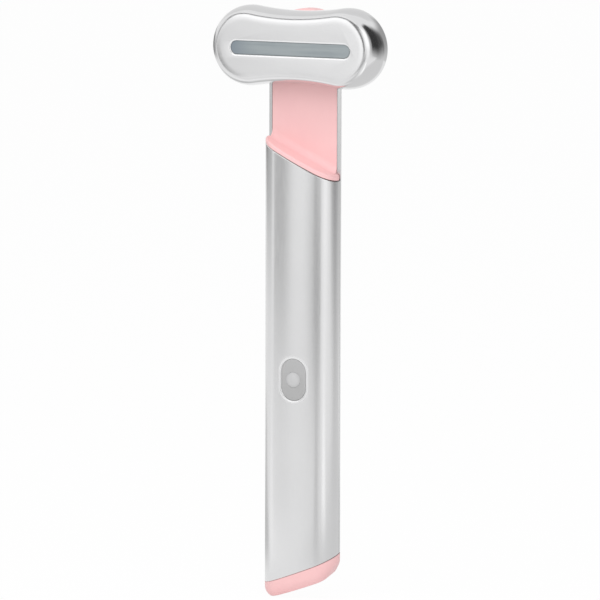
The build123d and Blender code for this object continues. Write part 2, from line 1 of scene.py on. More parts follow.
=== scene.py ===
import bpy
import json
import math
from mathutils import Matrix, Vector


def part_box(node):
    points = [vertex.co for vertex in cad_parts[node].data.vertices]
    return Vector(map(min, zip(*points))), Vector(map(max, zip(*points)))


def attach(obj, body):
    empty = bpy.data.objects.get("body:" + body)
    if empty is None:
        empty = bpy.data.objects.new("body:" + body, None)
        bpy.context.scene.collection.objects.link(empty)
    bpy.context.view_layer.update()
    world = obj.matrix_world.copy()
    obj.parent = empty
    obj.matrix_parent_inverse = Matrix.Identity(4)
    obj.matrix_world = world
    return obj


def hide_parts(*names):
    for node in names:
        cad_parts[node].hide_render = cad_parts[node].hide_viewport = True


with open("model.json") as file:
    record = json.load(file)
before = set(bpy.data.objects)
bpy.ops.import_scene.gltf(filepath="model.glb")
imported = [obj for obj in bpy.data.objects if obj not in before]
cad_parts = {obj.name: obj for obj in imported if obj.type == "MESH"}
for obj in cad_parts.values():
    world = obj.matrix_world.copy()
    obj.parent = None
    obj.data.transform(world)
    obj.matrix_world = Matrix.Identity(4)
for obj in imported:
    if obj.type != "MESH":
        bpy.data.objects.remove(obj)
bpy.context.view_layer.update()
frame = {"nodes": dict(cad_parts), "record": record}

mm = 0.001         # lengths are in metres
weld = 0.000001    # points closer than this are one
close = 10 * weld  # how near a point counts as lying on a plane
overrun = 1 * mm   # that a cutter sticks out past what it cuts


def boxMiddle(node):
    low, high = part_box(node)
    return (low + high) / 2


# The wand stands upright on the floor. Its handle's axis is the line x = 0, y = handleMiddle.
handleMiddle = boxMiddle("handle_shell").y
headAxis = boxMiddle("swivel_hub").z
print("frame loaded")


def towards(azimuth, elevation=0):
    # the direction from the wand by two angles in degrees; azimuth 0 is straight in front of the
    # treatment face and grows towards x
    azimuth, elevation = math.radians(azimuth), math.radians(elevation)
    return Vector((math.sin(azimuth) * math.cos(elevation),
                   -math.cos(azimuth) * math.cos(elevation), math.sin(elevation)))


# camera

cameraLook = {
    "azimuth": 26.5,         # degrees, to the right of the treatment face
    "elevation": 7.6,
    "distance": 1.2,
    "aimDrop": 0.06615,      # of the aim below the head's axis
    "aimSide": -0.00081,     # of the aim to the right of the handle's axis, seen from the camera
    "frameHeight": 0.15612,  # real height that the frame takes in at the handle
    "roll": 0.16,            # degrees
    "sensor": 36,            # millimetres
    "clipEnd": 40,
}


def makeCamera():
    look = cameraLook
    away = towards(look["azimuth"], look["elevation"])
    sideways = towards(look["azimuth"] + 90)
    aim = Vector((0, handleMiddle, headAxis - look["aimDrop"])) + sideways * look["aimSide"]
    bpy.ops.object.camera_add(location=aim + away * look["distance"])
    camera = bpy.context.object
    camera.rotation_euler = (-away).to_track_quat("-Z", "Y").to_euler()
    camera.rotation_euler.rotate_axis("Z", math.radians(look["roll"]))
    camera.data.sensor_width = look["sensor"]
    camera.data.lens = look["sensor"] * look["distance"] / look["frameHeight"]
    camera.data.clip_end = look["clipEnd"]
    bpy.context.scene.camera = camera


# materials

materials = {}
slotOf = {part["node"]: part["material_slot"] for part in frame["record"]["subparts"]}


def newMaterial(name):
    # an empty material, kept by its name
    materials[name] = material = bpy.data.materials.new(name)
    material.use_nodes = True
    material.node_tree.nodes.clear()
    return material.node_tree


def giveMaterial(piece, name):
    piece.data.materials.clear()
    piece.data.materials.append(materials[name])


def addNode(tree, kind, sockets, **settings):
    # each socket, by its name or number, takes a value or the output that feeds it
    node = tree.nodes.new("ShaderNode" + kind)
    for setting, value in settings.items():
        setattr(node, setting, value)
    for label, value in sockets.items():
        if isinstance(value, bpy.types.NodeSocket):
            tree.links.new(value, node.inputs[label])
        else:
            node.inputs[label].default_value = value
    return node


def addMath(tree, operation, first, second=0):
    return addNode(tree, "Math", {0: first, 1: second}, operation=operation).outputs[0]


def addVector(tree, operation, first, second, output="Vector"):
    return addNode(tree, "VectorMath", {0: first, 1: second}, operation=operation).outputs[output]


def addRange(tree, value, start, end, low, high, soft=False):
    # low where the value is at start, and high where it is at end
    sockets = {0: value, 1: start, 2: end, 3: low, 4: high}
    blend = "SMOOTHSTEP" if soft else "LINEAR"
    return addNode(tree, "MapRange", sockets, interpolation_type=blend).outputs["Result"]


def addMix(tree, share, plain, other):
    # a colour between two others
    sockets = {"Factor": share}
    for label, colour in (("A", plain), ("B", other)):
        sockets[label] = colour if isinstance(colour, bpy.types.NodeSocket) else (*colour, 1)
    return addNode(tree, "Mix", sockets, data_type="RGBA").outputs["Result"]


def addNoise(tree, vector, scale, detail):
    return addNode(tree, "TexNoise", {"Vector": vector, "Scale": scale, "Detail": detail}).outputs[0]


def newGroup(name, takes, gives):
    group = bpy.data.node_groups.new(name, "ShaderNodeTree")
    for label, kind in takes.items():
        group.interface.new_socket(name=label, in_out="INPUT", socket_type="NodeSocket" + kind)
    group.interface.new_socket(name=gives, in_out="OUTPUT", socket_type="NodeSocketFloat")
    given = group.nodes.new("NodeGroupInput").outputs
    return group, given, group.nodes.new("NodeGroupOutput").inputs[gives]


def addGroup(tree, name, **values):
    return addNode(tree, "Group", values, node_tree=bpy.data.node_groups[name]).outputs[0]


patternLook = {
    "grainDetail": 3,
    "patchDetail": 2,
    "span": (0.3, 0.7),  # where nearly all of a noise's values lie
    "trackEdge": 0.05,   # how soft a track's edge is, as a share of the pitch
}


def makeGrainGroup():
    # fine relief, drawn out along an axis where Stretch is small
    tree, given, result = newGroup("fineGrain", {"Vector": "Vector", "Stretch": "Vector", "Size": "Float"},
                                   "Height")
    place = addVector(tree, "MULTIPLY", given["Vector"], given["Stretch"])
    scale = addMath(tree, "DIVIDE", 1, given["Size"])
    tree.links.new(addNoise(tree, place, scale, patternLook["grainDetail"]), result)


def makePatchGroup():
    # slow changes of shade, as handling and moulding leave
    tree, given, result = newGroup("softPatches", {"Vector": "Vector", "Size": "Float"}, "Mask")
    scale = addMath(tree, "DIVIDE", 1, given["Size"])
    cloud = addNoise(tree, given["Vector"], scale, patternLook["patchDetail"])
    tree.links.new(addRange(tree, cloud, *patternLook["span"], 0, 1, soft=True), result)


def makeOutlineGroup():
    # distance outside a long hole's outline; Straight is half its straight run, in direction Along
    tree, given, result = newGroup("holeDistance", {
        "Vector": "Vector", "Middle": "Vector", "Along": "Vector", "Across": "Vector",
        "Straight": "Float", "Radius": "Float"}, "Distance")
    away = addVector(tree, "SUBTRACT", given["Vector"], given["Middle"])
    along = addVector(tree, "DOT_PRODUCT", away, given["Along"], "Value")
    beyond = addMath(tree, "SUBTRACT", addMath(tree, "ABSOLUTE", along), given["Straight"])
    past = addMath(tree, "MAXIMUM", beyond, 0)
    across = addVector(tree, "DOT_PRODUCT", away, given["Across"], "Value")
    squares = addMath(tree, "ADD", addMath(tree, "MULTIPLY", past, past),
                      addMath(tree, "MULTIPLY", across, across))
    reach = addMath(tree, "SQRT", squares)
    tree.links.new(addMath(tree, "SUBTRACT", reach, given["Radius"]), result)


def makeLineGroup():
    # a line pattern, such as a heater's track or a board's copper; Share is how much of it is line
    tree, given, result = newGroup("tracks", {"Vector": "Vector", "Pitch": "Float", "Share": "Float"}, "Mask")
    split = addNode(tree, "SeparateXYZ", {0: given["Vector"]})
    wave = addMath(tree, "PINGPONG", split.outputs["X"], given["Pitch"])
    across = addMath(tree, "DIVIDE", wave, given["Pitch"])
    after = addMath(tree, "SUBTRACT", given["Share"], across)
    edge = patternLook["trackEdge"]
    tree.links.new(addRange(tree, after, -edge, edge, 0, 1, soft=True), result)


def addGrain(tree, place, size, stretch=(1, 1, 1)):
    return addGroup(tree, "fineGrain", Vector=place, Stretch=stretch, Size=size)


def addSpan(tree, noise, ends):
    # a value that goes from one end to the other as the noise rises
    return addRange(tree, noise, *patternLook["span"], *ends)


def holeDistance(tree, place, size, middle):
    width, height = size
    upright = height > width
    return addGroup(tree, "holeDistance", Vector=place, Middle=middle,
                    Along=(0, 0, 1) if upright else (1, 0, 0), Across=(1, 0, 0) if upright else (0, 0, 1),
                    Straight=abs(height - width) / 2, Radius=min(size) / 2)


finishes = {
    # colour and the tint that it drifts to in patches; patch and grain are sizes and relief is the
    # grain's depth, in millimetres, and a stretch under 1 draws the grain out along that axis
    "seal_rubber": {"colour": (0.045, 0.042, 0.042), "tint": (0.06, 0.056, 0.055), "roughness": (0.6, 0.78),
                    "grain": 0.08, "relief": 0.006, "patch": 3},
    "white_plastic": {"colour": (0.78, 0.78, 0.76), "tint": (0.82, 0.82, 0.8), "roughness": (0.4, 0.52),
                      "grain": 0.12, "relief": 0.004, "patch": 6},
    "pink_plastic": {"colour": (0.95, 0.585, 0.585), "tint": (0.935, 0.567, 0.57), "roughness": (0.38, 0.46),
                     "grain": 0.14, "relief": 0.0025, "patch": 9},
    "battery_wrap": {"colour": (0.07, 0.19, 0.5), "tint": (0.09, 0.23, 0.56), "roughness": (0.22, 0.38),
                     "grain": 0.5, "relief": 0.02, "patch": 4, "stretch": (0.2, 0.2, 1)},
    "foam_tape": {"colour": (0.06, 0.06, 0.065), "tint": (0.1, 0.1, 0.105), "roughness": (0.85, 0.95),
                  "grain": 0.18, "relief": 0.06, "patch": 1},
    "wire_red": {"colour": (0.55, 0.03, 0.02), "tint": (0.48, 0.025, 0.018), "roughness": (0.42, 0.55),
                 "grain": 0.1, "relief": 0.004, "patch": 2},
    "wire_black": {"colour": (0.018, 0.018, 0.02), "tint": (0.03, 0.03, 0.032), "roughness": (0.42, 0.55),
                   "grain": 0.1, "relief": 0.004, "patch": 2},
    "bright_steel": {"colour": (0.6, 0.6, 0.58), "tint": (0.54, 0.54, 0.53), "roughness": (0.18, 0.34),
                     "grain": 0.08, "relief": 0.002, "patch": 2, "stretch": (1, 0.1, 1), "metallic": 1},
    "weight_metal": {"colour": (0.33, 0.32, 0.31), "tint": (0.27, 0.265, 0.26), "roughness": (0.38, 0.55),
                     "grain": 0.06, "relief": 0.008, "patch": 1.2, "metallic": 1},
    "chip_black": {"colour": (0.018, 0.018, 0.02), "tint": (0.028, 0.028, 0.03), "roughness": (0.45, 0.6),
                   "grain": 0.07, "relief": 0.003, "patch": 1},
    "passive_tan": {"colour": (0.42, 0.3, 0.18), "tint": (0.36, 0.25, 0.15), "roughness": (0.4, 0.55),
                    "grain": 0.06, "relief": 0.003, "patch": 0.7},
    "led_clear": {"colour": (0.8, 0.55, 0.5), "tint": (0.7, 0.42, 0.38), "roughness": (0.14, 0.26),
                  "grain": 0.2, "relief": 0.002, "patch": 0.8},
}


def addOutput(tree, shader):
    addNode(tree, "OutputMaterial", {"Surface": shader.outputs[0]})


def addShader(tree, colour, metallic, roughness, height, relief):
    # the shader and its bump; relief is the depth of the height's full range
    bump = addNode(tree, "Bump", {"Strength": 1, "Distance": relief, "Height": height})
    addOutput(tree, addNode(tree, "BsdfPrincipled", {
        "Base Color": colour, "Metallic": metallic, "Roughness": roughness,
        "Normal": bump.outputs["Normal"]}))


def objectPlace(tree):
    # the place on the piece, whole and as its three parts
    place = addNode(tree, "TexCoord", {}).outputs["Object"]
    return place, addNode(tree, "SeparateXYZ", {0: place}).outputs


def startFinish(name, look, unit=1):
    # a material's nodes, the place on the piece, its three parts, the grain and the patches; unit
    # is what the look's sizes are given in
    tree = newMaterial(name)
    place, parts = objectPlace(tree)
    grain = addGrain(tree, place, look["grain"] * unit, look.get("stretch", (1, 1, 1)))
    patches = addGroup(tree, "softPatches", Vector=place, Size=look["patch"] * unit)
    return tree, place, parts, grain, patches


def makeFinish(slot):
    look = finishes[slot]
    tree, _, _, grain, patches = startFinish(slot, look, mm)
    colour = addMix(tree, patches, look["colour"], look["tint"])
    roughness = addSpan(tree, grain, look["roughness"])
    addShader(tree, colour, look.get("metallic", 0), roughness, grain, look["relief"] * mm)


handleMetal = {
    "colour": (0.73, 0.73, 0.735),        # satin anodised aluminium
    "tint": (0.715, 0.715, 0.72),
    "bareAndHighlight": (0.82, 0.82, 0.825),          # bare metal where the edges are cut after anodising, made paler to paint their bright highlight
    "roughness": (0.2, 0.26),
    "bareRoughness": 0.3,
    "grain": 0.12 * mm,
    "stretch": (1, 1, 0.03),              # the tube's fine draw lines run along it
    "relief": 0.0004 * mm,
    "patch": 14 * mm,
    "mouthRing": (0.35 * mm, 1.0 * mm),   # round the mouth, from bare metal with its painted highlight to anodised
    "rimBand": (0.128 * mm, 0.192 * mm),  # the same beside the two slanted rims
}


def makeHandleMetal():
    look = handleMetal
    tree, place, parts, grain, patches = startFinish("handle_metal", look)
    outside = holeDistance(tree, place, handleTube["mouth"], buttonMiddle)
    inFront = addMath(tree, "LESS_THAN", parts["Y"], handleMiddle + handleTube["tongueFront"])
    # bare metal along the mouth and the rims, painted paler as their bright highlight
    bareAndHighlight = addRange(tree, outside, *look["mouthRing"], 1, 0, soft=True)
    for rim in ("upper", "lower"):
        if rim == "lower":
            bareAndHighlight = addMath(tree, "MULTIPLY", bareAndHighlight, inFront)
        slope = handleTube[rim + "Slope"]
        square = Vector((-slope[0], -slope[1], 1)).normalized()
        middle = Vector((0, handleMiddle, headAxis - handleTube[rim + "Rim"]))
        away = addVector(tree, "DOT_PRODUCT",
                         addVector(tree, "SUBTRACT", place, middle), square, "Value")
        near = addMath(tree, "ABSOLUTE", away)
        band = addRange(tree, near, *look["rimBand"], 1, 0, soft=True)
        bareAndHighlight = addMath(tree, "MAXIMUM", bareAndHighlight, band)
    coat = addMix(tree, patches, look["colour"], look["tint"])
    colour = addMix(tree, bareAndHighlight, coat, look["bareAndHighlight"])
    satin = addSpan(tree, grain, look["roughness"])
    roughness = addRange(tree, bareAndHighlight, 0, 1, satin, look["bareRoughness"])
    addShader(tree, colour, 1, roughness, grain, look["relief"])


headMetal = {
    "colour": (0.73, 0.73, 0.735),
    "tint": (0.712, 0.712, 0.718),
    "bareAndHighlight": (0.86, 0.86, 0.865),       # the cut edge of the window's slot, bare metal made paler to paint its bright highlight
    "face": (0.17, 0.23),              # roughness of the satin face
    "flank": (0.09, 0.12),             # and of the polished flank
    "turn": (0.42 * mm, 1.4 * mm),     # behind the face, from satin to polish
    "grain": 0.1 * mm,
    "stretch": (0.05, 1, 1),
    "relief": 0.0003 * mm,
    "patch": 11 * mm,
    "slotRing": (0.4 * mm, 0.5 * mm),  # round the slot, from bare metal with its painted highlight to coated
}


def makeHeadMetal():
    look = headMetal
    tree, place, parts, grain, patches = startFinish("head_metal", look)
    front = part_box("head_front_shell")[0].y
    behind = addMath(tree, "SUBTRACT", parts["Y"], front)
    polish = addRange(tree, behind, *look["turn"], 0, 1, soft=True)
    outside = holeDistance(tree, place, headPod["slot"], boxMiddle("light_window"))
    # bare metal round the slot, painted paler as its bright highlight
    bareAndHighlight = addRange(tree, outside, *look["slotRing"], 1, 0, soft=True)
    atFace = addMath(tree, "LESS_THAN", behind, headPod["slotDepth"])
    bareAndHighlight = addMath(tree, "MULTIPLY", bareAndHighlight, atFace)
    coat = addMix(tree, patches, look["colour"], look["tint"])
    colour = addMix(tree, bareAndHighlight, coat, look["bareAndHighlight"])
    satin = addSpan(tree, grain, look["face"])
    bright = addSpan(tree, grain, look["flank"])
    roughness = addRange(tree, polish, 0, 1, satin, bright)
    addShader(tree, colour, 1, roughness, grain, look["relief"])


windowFrosted = {
    "colour": (0.315, 0.35, 0.362),  # frosted resin over the lamps
    "streak": (0.255, 0.29, 0.308),  # flow lines along the bar
    "end": (0.2, 0.235, 0.27),       # darker towards the left end
    "endReach": 9 * mm,
    "streakSpan": (0.35, 0.65),
    "leastStreak": 0.4,              # share of the streaks that is left where a patch is faintest
    "roughness": (0.3, 0.42),
    "grain": 0.5 * mm,
    "stretch": (0.03, 1, 1),
    "relief": 0.003 * mm,
    "patch": 5 * mm,
}


def makeWindowFrosted():
    look = windowFrosted
    tree, _, parts, streaks, patches = startFinish("window_frosted", look)
    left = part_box("light_window")[0].x
    # darker towards the left end
    darkerEnd = addRange(tree, parts["X"], left, left + look["endReach"], 1, 0, soft=True)
    lines = addRange(tree, streaks, *look["streakSpan"], 0, 1)
    strength = addRange(tree, patches, 0, 1, look["leastStreak"], 1)
    mottle = addMath(tree, "MULTIPLY", lines, strength)
    resin = addMix(tree, mottle, look["colour"], look["streak"])
    colour = addMix(tree, darkerEnd, resin, look["end"])
    roughness = addRange(tree, patches, 0, 1, *look["roughness"])
    addShader(tree, colour, 0, roughness, streaks, look["relief"])


buttonGrey = {
    "top": (0.46, 0.46, 0.462),  # matt silicone, painted paler towards its upper end, as if lit from above
    "low": (0.415, 0.415, 0.415),
    "edge": (0.5, 0.5, 0.5),     # paler along its edge: a painted highlight round the key
    "edgeReach": 0.35 * mm,
    "edgeShare": 0.6,
    "rise": (-0.15, 0.85),       # share of the painted paler top colour, from the lower end to the upper
    "patchShare": 0.3,           # that the patches add to it
    "roughness": (0.48, 0.6),
    "grain": 0.11 * mm,
    "relief": 0.003 * mm,
    "patch": 2.5 * mm,
}


def makeButtonGrey():
    look = buttonGrey
    tree, place, parts, grain, patches = startFinish("button_grey", look)
    reach = powerKey["size"][1] / 2
    # painted light: the key grows paler towards its upper end
    height = addRange(tree, parts["Z"], buttonMiddle.z - reach, buttonMiddle.z + reach, *look["rise"])
    drift = addMath(tree, "MULTIPLY", patches, look["patchShare"])
    share = addMath(tree, "ADD", height, drift)
    outside = holeDistance(tree, place, powerKey["size"], buttonMiddle)
    # painted highlight: paler along the key's edge
    edgeHighlight = addRange(tree, outside, -look["edgeReach"], 0, 0, look["edgeShare"], soft=True)
    shadedSilicone = addMix(tree, share, look["low"], look["top"])
    colour = addMix(tree, edgeHighlight, shadedSilicone, look["edge"])
    addShader(tree, colour, 0, addSpan(tree, grain, look["roughness"]), grain, look["relief"])


lensWhite = {
    "colour": (0.57, 0.57, 0.575),  # milky resin, darker towards its rim
    "rim": (0.51, 0.51, 0.515),
    "rimShare": 0.45,               # of the radius, over which the rim's colour comes in
    "roughness": (0.26, 0.36),
    "grain": 0.2 * mm,
    "relief": 0.001 * mm,
}


def makeLensWhite():
    look = lensWhite
    tree = newMaterial("lens_white")
    place = objectPlace(tree)[0]
    grain = addGrain(tree, place, look["grain"])
    radius = keyLens["radius"]
    outside = holeDistance(tree, place, (2 * radius, 2 * radius), buttonMiddle)
    rim = addRange(tree, outside, -look["rimShare"] * radius, 0, 0, 1, soft=True)
    colour = addMix(tree, rim, look["colour"], look["rim"])
    addShader(tree, colour, 0, addSpan(tree, grain, look["roughness"]), grain, look["relief"])


trackBlocks = 180  # in a metre; the tracks are shifted block by block
trackGrain = 0.1 * mm
trackFinishes = {
    # colours of the ground and of the tracks; pitch and relief of the tracks in millimetres, their
    # share of the pitch, and wander, the most that a block of them is moved, in millimetres
    "board_green": {"colour": (0.015, 0.14, 0.06), "track": (0.03, 0.22, 0.09), "roughness": (0.3, 0.42),
                    "pitch": 1.125, "share": 0.45, "relief": 0.03, "wander": 1.35},
    "board_white": {"colour": (0.76, 0.77, 0.75), "track": (0.82, 0.83, 0.81), "roughness": (0.35, 0.48),
                    "pitch": 0.6, "share": 0.4, "relief": 0.02, "wander": 1.2},
    "heater_amber": {"colour": (0.5, 0.21, 0.035), "track": (0.34, 0.12, 0.03), "roughness": (0.22, 0.34),
                     "pitch": 0.4, "share": 0.5, "relief": 0.015, "wander": 0.04},
}


def makeTrackFinish(slot):
    # tracks under a coat: straight runs, shifted block by block so that they break and step
    look = trackFinishes[slot]
    tree = newMaterial(slot)
    place = objectPlace(tree)[0]
    blocks = addNode(tree, "TexVoronoi", {"Vector": place, "Scale": trackBlocks}, distance="CHEBYCHEV")
    moved = addVector(tree, "MULTIPLY", blocks.outputs["Color"], (look["wander"] * mm,) * 3)
    path = addVector(tree, "ADD", place, moved)
    tracks = addGroup(tree, "tracks", Vector=path, Pitch=look["pitch"] * mm, Share=look["share"])
    grain = addGrain(tree, place, trackGrain)
    colour = addMix(tree, tracks, look["colour"], look["track"])
    addShader(tree, colour, 0, addSpan(tree, grain, look["roughness"]), tracks, look["relief"] * mm)


def makeMaterials():
    for makeOne in (makeGrainGroup, makePatchGroup, makeOutlineGroup, makeLineGroup):
        makeOne()
    for slot in finishes:
        makeFinish(slot)
    for slot in trackFinishes:
        makeTrackFinish(slot)
    for makeOne in (makeHandleMetal, makeHeadMetal, makeWindowFrosted, makeButtonGrey, makeLensWhite):
        makeOne()
    for name, piece in frame["nodes"].items():
        giveMaterial(piece, slotOf[name])


# studio

floorLook = {
    "size": 30.0,
    "colour": (0.96, 0.96, 0.96),
    "paperShare": 0.03,  # how much of what is seen is lit paper rather than plain white
}


def isSeenRay(tree):
    # one for rays from the camera, from metal and through glass, nought for the rest
    path = addNode(tree, "LightPath", {}).outputs
    either = path["Is Camera Ray"]
    for kind in ("Is Glossy Ray", "Is Transmission Ray"):
        either = addMath(tree, "MAXIMUM", either, path[kind])
    return either


def addGlow(tree, strength):
    return addNode(tree, "Emission", {"Color": (1, 1, 1, 1), "Strength": strength})


def giveBlend(piece, name, share, plain, other):
    # ends a material between two shaders and gives it to a piece, without sampling it as a lamp
    tree = materials[name].node_tree
    addOutput(tree, addNode(tree, "MixShader", {0: share, 1: plain.outputs[0], 2: other.outputs[0]}))
    materials[name].cycles.emission_sampling = "NONE"
    giveMaterial(piece, name)


def makeFloor():
    deselectAll()
    bpy.ops.mesh.primitive_plane_add(size=floorLook["size"])
    floor = bpy.context.object
    floor.name = "floor"
    tree = newMaterial("floor_paper")
    paper = addNode(tree, "BsdfDiffuse", {"Color": (*floorLook["colour"], 1)})
    share = addMath(tree, "MULTIPLY", isSeenRay(tree), 1 - floorLook["paperShare"])
    giveBlend(floor, "floor_paper", share, paper, addGlow(tree, 1))


worldLook = {
    "seen": 1.0,   # strength in the camera, in metal and in glass
    "light": 0.5,  # strength that lights matt surfaces
}


def makeWorld():
    world = bpy.data.worlds.new("studio")
    bpy.context.scene.world = world
    world.use_nodes = True
    tree = world.node_tree
    tree.nodes.clear()
    strength = addRange(tree, isSeenRay(tree), 0, 1, worldLook["light"], worldLook["seen"])
    background = addNode(tree, "Background", {"Color": (1, 1, 1, 1), "Strength": strength})
    addNode(tree, "OutputWorld", {"Surface": background.outputs[0]})


# The lamps light matt surfaces; what metal reflects is the white room and the panels further down.
softboxes = {
    "front": {"azimuth": 28, "elevation": 38, "distance": 0.9, "size": (0.5, 0.5), "radiance": 2.5},
    "frontLeft": {"azimuth": -24, "elevation": 25, "distance": 0.9, "size": (0.5, 0.5), "radiance": 1.2},
    "right": {"azimuth": 60, "elevation": 20, "distance": 0.9, "size": (0.55, 0.6), "radiance": 0.9},
    "top": {"azimuth": -20, "elevation": 66, "distance": 0.9, "size": (0.7, 0.35), "radiance": 2.55},
}

# Upright panels round the wand, from low to high above the floor. A shade under 1 is a dark panel
# and one over 1 a bright panel. Soft is the share of each half that fades out, across and up. Lean
# turns a panel's top towards lower azimuths, in degrees.
screens = {
    "left": {"azimuth": -87, "distance": 0.35, "low": 0.03, "high": 0.18, "width": 0.42,
             "shade": 0.5, "soft": (0.4, 0.7)},
    "headLeft": {"azimuth": -112, "distance": 0.34, "low": 0.07, "high": 0.19, "width": 0.33,
                 "shade": 0.2, "soft": (0.5, 0.4)},
    "leftGap": {"azimuth": -38.5, "distance": 0.45, "low": 0, "high": 0.13, "width": 0.145,
                "shade": 0.45, "soft": (0.35, 0.4)},
    "headLeftGap": {"azimuth": -53, "distance": 0.34, "low": 0.1, "high": 0.42, "width": 0.096,
                    "shade": 0.4, "soft": (0.5, 0.3)},
    "frontGap": {"azimuth": 9.5, "distance": 0.35, "low": -0.01, "high": 0.09, "width": 0.3,
                 "shade": 0.47, "soft": (0.2, 0.5)},
    "headGap": {"azimuth": 3, "distance": 0.34, "low": 0.08, "high": 0.42, "width": 0.15,
                "shade": 0.2, "soft": (0.5, 0.3)},
    "edgeGlow": {"azimuth": -14, "distance": 0.33, "low": 0.08, "high": 0.22, "width": 0.08,
                 "shade": 1.4, "soft": (0.6, 0.5)},
    "upperGlow": {"azimuth": -20, "distance": 0.33, "low": 0.14, "high": 0.36, "width": 0.182,
                  "shade": 1.45, "soft": (0.4, 0.35)},
    "front": {"azimuth": -22, "distance": 0.35, "low": 0, "high": 0.2, "width": 0.09,
              "shade": 1.02, "soft": (0.3, 0.4)},
    "right": {"azimuth": 55, "distance": 0.35, "low": 0, "high": 0.4, "width": 0.18,
              "shade": 1.18, "soft": (0.4, 0.4)},
    "headRight": {"azimuth": 51, "distance": 0.34, "low": 0.12, "high": 0.5, "width": 0.34,
                  "shade": 1.4, "soft": (0.35, 0.4)},
    "blackRight": {"azimuth": 99, "distance": 0.35, "low": 0, "high": 0.75, "width": 0.269,
                   "shade": 0.05, "soft": (0.6, 0.5)},
    "shadeRight": {"azimuth": 115, "distance": 0.37, "low": -0.04, "high": 0.62, "width": 0.41,
                   "shade": 0.09, "soft": (0.85, 0.7), "lean": 24},
    "paleRight": {"azimuth": 150, "distance": 0.4, "low": 0, "high": 0.5, "width": 0.58,
                  "shade": 0.42, "soft": (0.45, 0.8)},
    "lowRight": {"azimuth": 130, "distance": 0.42, "low": -0.1, "high": 0.3, "width": 0.756,
                 "shade": 0.76, "soft": (0.3, 0.5)},
}

# Strips on the floor, from near to far, that the lower half of the handle reflects
strips = {
    "backRightStrip": {"azimuth": 127, "near": -0.02, "far": 0.5, "width": 0.32,
                       "shade": 0.8, "soft": (0.3, 0.1)},
    "frontGapStrip": {"azimuth": 10.5, "near": 0.03, "far": 0.35, "width": 0.07,
                      "shade": 0.74, "soft": (0.5, 0.3)},
    "leftGapStrip": {"azimuth": -36, "near": 0.1, "far": 0.5, "width": 0.05,
                     "shade": 0.93, "soft": (0.6, 0.3)},
    "leftStrip": {"azimuth": -62, "near": 0.03, "far": 0.35, "width": 0.08,
                  "shade": 1.12, "soft": (0.4, 0.3)},
    "farLeftStrip": {"azimuth": -114, "near": 0.03, "far": 0.35, "width": 0.13,
                     "shade": 0.66, "soft": (0.4, 0.3)},
    "rightStrip": {"azimuth": 50, "near": 0.085, "far": 0.35, "width": 0.065,
                   "shade": 1.42, "soft": (0.4, 0.5)},
}
stripSpacing = 0.2 * mm  # each strip lies this much above the last

# Panels that hang higher and face the wand
canopies = {
    "faceGlow": {"azimuth": -24, "elevation": 24, "distance": 0.8, "size": (0.75, 0.42),
                 "shade": 1.42, "soft": (0.6, 0.6)},
    "topGap": {"azimuth": -14, "elevation": 43, "distance": 0.7, "size": (1.3, 0.1),
               "shade": 0.03, "soft": (0.1, 0.1)},
    "backHigh": {"azimuth": -154, "elevation": 42, "distance": 0.8, "size": (1.3, 0.9),
                 "shade": 0.84, "soft": (0.3, 0.3)},
    "topGlow": {"azimuth": -20, "elevation": 62, "distance": 0.8, "size": (1.0, 0.4),
                "shade": 1.06, "soft": (0.4, 0.4)},
}
studioCentre = Vector((0, 0, 0.09))  # what the lamps and these panels face
panelHalf = 0.5                      # half the side of a panel before it is scaled


def facingCentre(spot):
    # where a lamp or a canopy hangs, and the turn that makes it face the wand
    away = towards(spot["azimuth"], spot["elevation"])
    return studioCentre + away * spot["distance"], away.to_track_quat("Z", "Y").to_euler()


def makeSoftbox(name, spot):
    place, turn = facingCentre(spot)
    bpy.ops.object.light_add(type="AREA", location=place, rotation=turn)
    lamp = bpy.context.object
    lamp.name = name
    width, height = spot["size"]
    lamp.data.shape = "RECTANGLE"
    lamp.data.size = width
    lamp.data.size_y = height
    lamp.data.energy = spot["radiance"] * math.pi * width * height
    lamp.visible_glossy = False


def makePanel(name, spot, place, turn, size):
    # a panel that only metal sees, fading out towards its edges
    deselectAll()
    bpy.ops.mesh.primitive_plane_add(size=2 * panelHalf, location=place, rotation=turn)
    panel = bpy.context.object
    panel.name = name
    panel.scale = (*size, 1)
    tree = newMaterial(name)
    parts = objectPlace(tree)[1]
    cover = 1
    for side, soft in zip(("X", "Y"), spot["soft"]):
        reach = addMath(tree, "ABSOLUTE", parts[side])
        fade = addRange(tree, reach, panelHalf, panelHalf * (1 - soft), 0, 1, soft=True)
        cover = addMath(tree, "MULTIPLY", fade, cover)
    giveBlend(panel, name, cover, addNode(tree, "BsdfTransparent", {}), addGlow(tree, spot["shade"]))
    for use in ("camera", "diffuse", "shadow", "transmission"):
        setattr(panel, "visible_" + use, False)


def makeScreen(name, spot):
    away = towards(spot["azimuth"])
    place = away * spot["distance"] + Vector((0, 0, (spot["low"] + spot["high"]) / 2))
    turn = away.to_track_quat("Z", "Y").to_euler()
    turn.rotate_axis("Z", math.radians(spot.get("lean", 0)))
    makePanel(name, spot, place, turn, (spot["width"], spot["high"] - spot["low"]))


def makeStrip(name, spot, lift):
    place = towards(spot["azimuth"]) * (spot["near"] + spot["far"]) / 2 + Vector((0, 0, lift))
    turn = (0, 0, math.radians(spot["azimuth"]))
    makePanel(name, spot, place, turn, (spot["width"], spot["far"] - spot["near"]))


def makeCanopy(name, spot):
    makePanel(name, spot, *facingCentre(spot), spot["size"])


# modelling

def deselectAll():
    bpy.ops.object.select_all(action="DESELECT")


def chooseAll():
    bpy.ops.mesh.select_all(action="SELECT")


def extrude(shift):
    bpy.ops.mesh.extrude_region_move(TRANSFORM_OT_translate={"value": shift})


def weldAll():
    chooseAll()
    bpy.ops.mesh.remove_doubles(threshold=weld)


